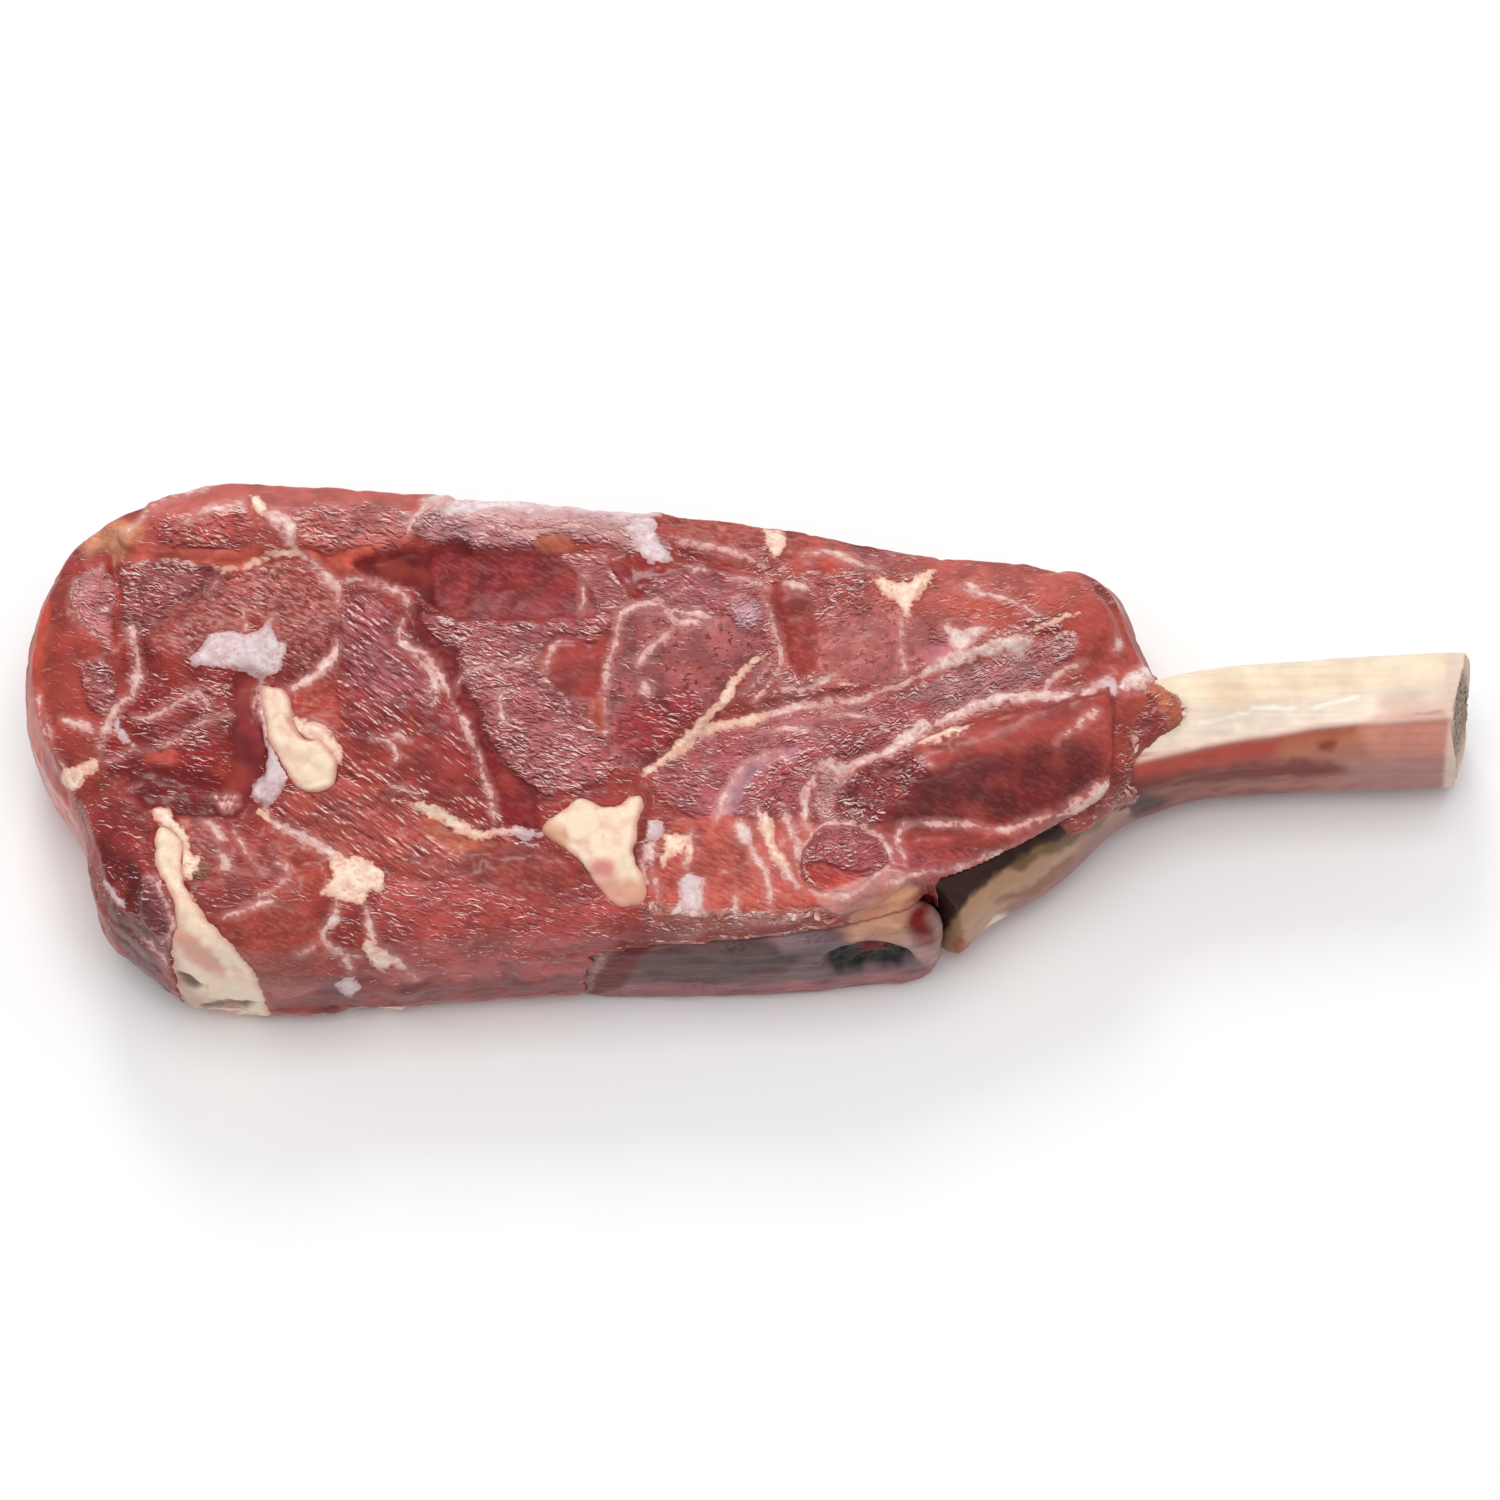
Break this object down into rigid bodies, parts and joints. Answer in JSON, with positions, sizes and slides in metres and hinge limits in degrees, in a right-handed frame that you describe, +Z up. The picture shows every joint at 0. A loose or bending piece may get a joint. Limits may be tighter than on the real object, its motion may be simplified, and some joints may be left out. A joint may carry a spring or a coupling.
{
  "type": "raw bone-in veal rib chop",
  "caption": "Thick raw slice of veal lying on its cut face, with a sawn backbone block bedded in one edge and a long scraped rib bone sticking out of one end.",
  "frame": {"origin": "on the surface that the chop lies on, under the middle of the whole chop", "axes": "+X along the chop to the sawn end of the rib, +Y across it to the trimmed back edge, +Z up through its thickness"},
  "size_m": [0.2638, 0.0962, 0.0368],
  "materials": {
    "meat": "damp raw veal muscle, glossy in patches, with white seams of connective tissue",
    "fat": "waxy cream to pale orange fat, faintly damp",
    "scraped_bone": "scraped rib bone, cream on top and red along its inner face, damp",
    "sawn_bone": "sawn spongy bone, grey to dusty pink, matt and streaked"
  },
  "bodies": {
    "root": {"meat": "meat", "rib_bone": "scraped_bone", "chine_bone": "sawn_bone", "fat_lump_backbone": "fat", "fat_lump_eye": "fat", "fat_lump_corner": "fat"}
  },
  "joints": []
}
